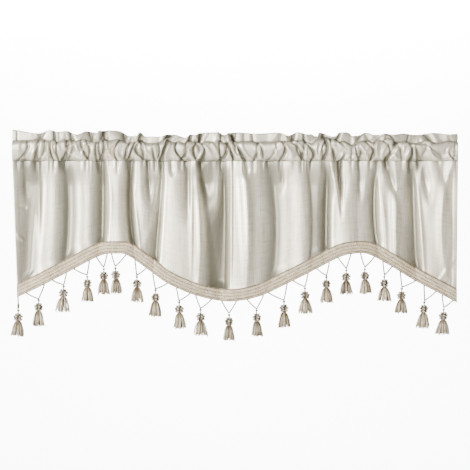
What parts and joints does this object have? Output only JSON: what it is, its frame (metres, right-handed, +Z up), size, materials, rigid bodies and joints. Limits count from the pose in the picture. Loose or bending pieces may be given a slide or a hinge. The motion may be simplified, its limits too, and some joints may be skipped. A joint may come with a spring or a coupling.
{
  "type": "scalloped rod pocket valance with tasselled hem",
  "caption": "Gathered satin window valance with a rod pocket, a standing ruffle and a double-arched hem, edged with braid and hanging beaded tassels.",
  "frame": {"origin": "middle of the line where the top of the rod pocket rests on the rod", "axes": "+X along the rod to the viewer's right, -Y towards the room, +Z up"},
  "size_m": [1.0021, 0.0446, 0.472],
  "materials": {
    "satin": "ivory satin with a soft sheen",
    "braid": "ribbed beige gimp braid",
    "tassel_yarn": "beige viscose yarn with small clear beads on its head",
    "twisted_cord": "thin light twisted cord"
  },
  "bodies": {
    "root": {"heading": "satin", "panel": "satin", "braid": "braid", "loop_01": "twisted_cord", "loop_02": "twisted_cord", "loop_03": "twisted_cord", "loop_04": "twisted_cord", "loop_05": "twisted_cord", "loop_06": "twisted_cord", "loop_07": "twisted_cord", "loop_08": "twisted_cord", "loop_09": "twisted_cord", "loop_10": "twisted_cord", "loop_11": "twisted_cord", "loop_12": "twisted_cord", "loop_13": "twisted_cord", "loop_14": "twisted_cord", "loop_15": "twisted_cord", "loop_16": "twisted_cord", "loop_17": "twisted_cord", "loop_18": "twisted_cord", "loop_19": "twisted_cord", "loop_20": "twisted_cord", "loop_21": "twisted_cord", "tassel_01": "tassel_yarn", "tassel_02": "tassel_yarn", "tassel_03": "tassel_yarn", "tassel_04": "tassel_yarn", "tassel_05": "tassel_yarn", "tassel_06": "tassel_yarn", "tassel_07": "tassel_yarn", "tassel_08": "tassel_yarn", "tassel_09": "tassel_yarn", "tassel_10": "tassel_yarn", "tassel_11": "tassel_yarn", "tassel_12": "tassel_yarn", "tassel_13": "tassel_yarn", "tassel_14": "tassel_yarn", "tassel_15": "tassel_yarn", "tassel_16": "tassel_yarn", "tassel_17": "tassel_yarn", "tassel_18": "tassel_yarn", "tassel_19": "tassel_yarn", "tassel_20": "tassel_yarn", "tassel_21": "tassel_yarn"}
  },
  "joints": []
}
